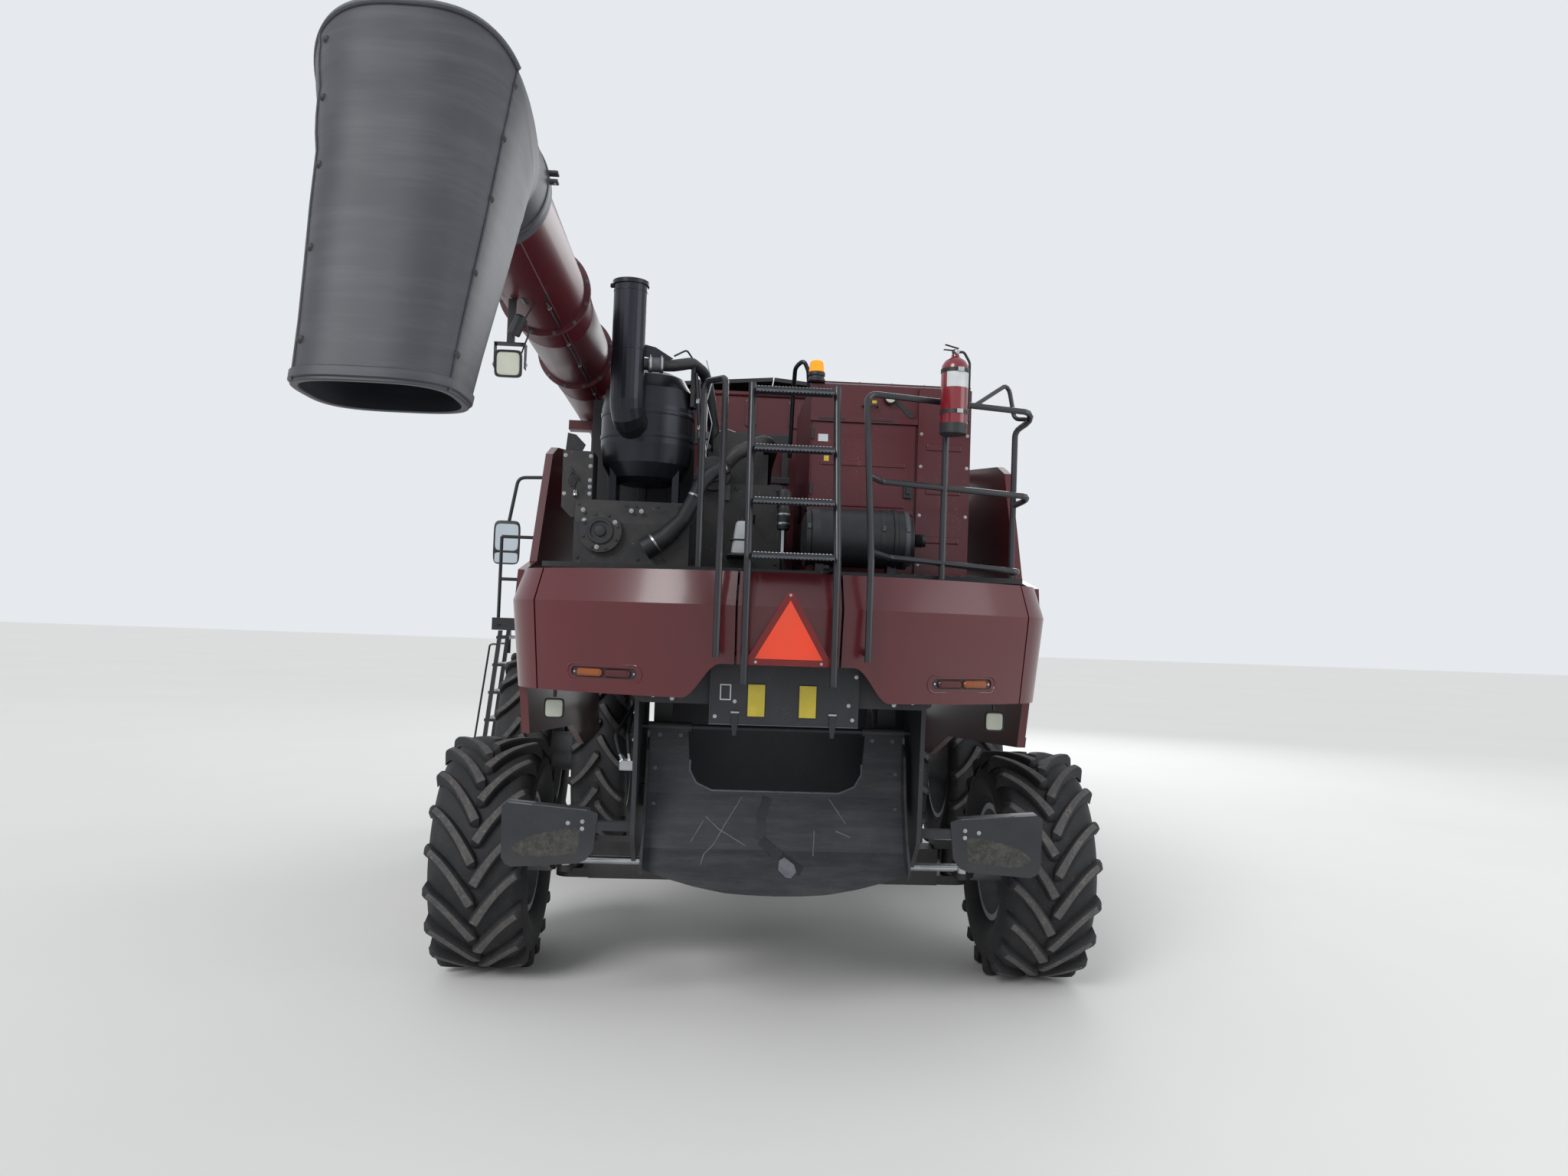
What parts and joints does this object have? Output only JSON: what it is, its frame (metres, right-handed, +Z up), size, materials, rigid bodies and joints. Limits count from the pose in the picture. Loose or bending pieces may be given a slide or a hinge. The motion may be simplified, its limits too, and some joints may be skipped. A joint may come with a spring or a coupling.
{
  "type": "combine harvester",
  "caption": "Self-propelled combine harvester with dual front wheels, long unloading tube with rubber spout, grain tank, cab, feeder house and rear ladder.",
  "frame": {"origin": "on the ground under the middle of the machine's overall box", "axes": "+X to the machine's right, +Y to its front, +Z up"},
  "size_m": [5.9, 10.8, 4.31],
  "materials": {
    "frame_black": "satin black enamel",
    "body_dark": "dark sheet steel",
    "engine_dark": "dark cast iron",
    "exhaust_dark": "heat-proof black",
    "moulded_black": "moulded black plastic",
    "red_paint": "red enamel",
    "red_panel": "glossy red moulded panel",
    "lamp_lens": "lamp lens",
    "sign_orange": "fluorescent orange",
    "rail_black": "black enamel tube",
    "extinguisher_red": "red enamel",
    "window_glass": "tinted glass",
    "trim_grey": "cab trim",
    "tyre": "tyre rubber",
    "rim_silver": "silver enamel",
    "bare_steel": "steel",
    "spout_rubber": "moulded rubber",
    "cover_black": "black cover",
    "chute_rubber": "worn rubber sheet"
  },
  "bodies": {
    "chassis": {"main_frame": "frame_black", "front_axle": "frame_black", "rear_axle": "frame_black", "separator_body": "body_dark", "residue_hood": "frame_black", "engine": "engine_dark", "exhaust": "exhaust_dark", "air_cleaner": "moulded_black", "cooling_box": "red_paint", "grain_tank": "red_paint", "tail_panels": "red_panel", "rear_lamps": "lamp_lens", "rear_signs": "sign_orange", "deck_rails": "rail_black", "rear_ladder": "rail_black", "extinguisher": "extinguisher_red", "cab_shell": "red_paint", "cab_glass": "window_glass", "cab_roof": "red_panel", "cab_interior": "trim_grey", "mirrors": "moulded_black", "cab_platform": "frame_black"},
    "front_wheels_left": {"front_tyres_left": "tyre", "front_rims_left": "rim_silver"},
    "front_wheels_right": {"front_tyres_right": "tyre", "front_rims_right": "rim_silver"},
    "rear_wheel_left": {"rear_tyre_left": "tyre", "rear_rim_left": "rim_silver"},
    "rear_wheel_right": {"rear_tyre_right": "tyre", "rear_rim_right": "rim_silver"},
    "knuckle_left": {"knuckle_left": "frame_black"},
    "knuckle_right": {"knuckle_right": "frame_black"},
    "tie_rod": {"tie_rod": "bare_steel"},
    "unloader": {"unload_tube": "red_paint", "spout_boot": "spout_rubber"},
    "feeder": {"feeder_house": "red_paint"},
    "lift_barrels": {"lift_barrels": "red_paint"},
    "lift_rods": {"lift_rods": "bare_steel"},
    "cab_door": {"cab_door": "window_glass"},
    "cab_ladder": {"cab_ladder": "rail_black"},
    "side_panel_left": {"side_panel_left": "red_panel"},
    "side_panel_right": {"side_panel_right": "red_panel"},
    "tank_cover_left": {"tank_cover_left": "cover_black"},
    "tank_cover_right": {"tank_cover_right": "cover_black"},
    "residue_chute": {"residue_chute": "chute_rubber"}
  },
  "joints": [
    {"name": "front_spin_left", "type": "hinge", "parent": "chassis", "child": "front_wheels_left", "pos_m": [-1.43, 2.8, 0.975], "axis": [1, 0, 0], "continuous": true},
    {"name": "front_spin_right", "type": "hinge", "parent": "chassis", "child": "front_wheels_right", "pos_m": [1.43, 2.8, 0.975], "axis": [1, 0, 0], "continuous": true},
    {"name": "steer_left", "type": "hinge", "parent": "chassis", "child": "knuckle_left", "pos_m": [-1.29, -1, 0.745], "axis": [0, 0, 1], "range_deg": [-25, 25]},
    {"name": "steer_right", "type": "hinge", "parent": "chassis", "child": "knuckle_right", "pos_m": [1.29, -1, 0.745], "axis": [0, 0, 1], "range_deg": [-25, 25]},
    {"name": "tie_rod_turn", "type": "hinge", "parent": "knuckle_left", "child": "tie_rod", "pos_m": [-1.29, -1.3, 0.745], "axis": [0, 0, 1], "range_deg": [-25, 25]},
    {"name": "rear_spin_left", "type": "hinge", "parent": "knuckle_left", "child": "rear_wheel_left", "pos_m": [-1.785, -1, 0.745], "axis": [1, 0, 0], "continuous": true},
    {"name": "rear_spin_right", "type": "hinge", "parent": "knuckle_right", "child": "rear_wheel_right", "pos_m": [1.785, -1, 0.745], "axis": [1, 0, 0], "continuous": true},
    {"name": "unloader_swing", "type": "hinge", "parent": "chassis", "child": "unloader", "pos_m": [-1.34, 2.03, 4], "axis": [0, 0, 1], "range_deg": [-100, 0]},
    {"name": "feeder_lift", "type": "hinge", "parent": "chassis", "child": "feeder", "pos_m": [0, 3.33, 1.65], "axis": [1, 0, 0], "range_deg": [-8, 14]},
    {"name": "lift_barrel_turn", "type": "hinge", "parent": "chassis", "child": "lift_barrels", "pos_m": [0, 3.05, 0.755], "axis": [1, 0, 0], "range_deg": [-8, 12]},
    {"name": "lift_rod_slide", "type": "slide", "parent": "lift_barrels", "child": "lift_rods", "axis": [0, 0.995, 0.0995], "range_m": [-0.14, 0.23]},
    {"name": "cab_door_swing", "type": "hinge", "parent": "chassis", "child": "cab_door", "pos_m": [-0.914, 3.232, 3], "axis": [0, 0, 1], "range_deg": [0, 80]},
    {"name": "ladder_swing", "type": "hinge", "parent": "chassis", "child": "cab_ladder", "pos_m": [-2.722, 4.252, 1.3], "axis": [0, 0, 1], "range_deg": [-90, 0]},
    {"name": "side_panel_left_lift", "type": "hinge", "parent": "chassis", "child": "side_panel_left", "pos_m": [-1.46, 0, 3.54], "axis": [0, 1, 0], "range_deg": [0, 70]},
    {"name": "side_panel_right_lift", "type": "hinge", "parent": "chassis", "child": "side_panel_right", "pos_m": [1.46, 0, 3.54], "axis": [0, -1, 0], "range_deg": [0, 70]},
    {"name": "cover_left_lift", "type": "hinge", "parent": "chassis", "child": "tank_cover_left", "pos_m": [-1.05, 1.19, 4.12], "axis": [0, -1, 0], "range_deg": [0, 90]},
    {"name": "cover_right_lift", "type": "hinge", "parent": "chassis", "child": "tank_cover_right", "pos_m": [1.05, 1.19, 4.12], "axis": [0, 1, 0], "range_deg": [0, 90]},
    {"name": "chute_tilt", "type": "hinge", "parent": "chassis", "child": "residue_chute", "pos_m": [0, -2.018, 1.688], "axis": [1, 0, 0], "range_deg": [-35, 0]}
  ],
  "couplings": [
    {"joint": "steer_right", "follows": "steer_left", "ratio": 1},
    {"joint": "tie_rod_turn", "follows": "steer_left", "ratio": -1},
    {"joint": "lift_barrel_turn", "follows": "feeder_lift", "ratio": 0.7304},
    {"joint": "lift_rod_slide", "follows": "feeder_lift", "m_per_rad": 0.85011}
  ]
}
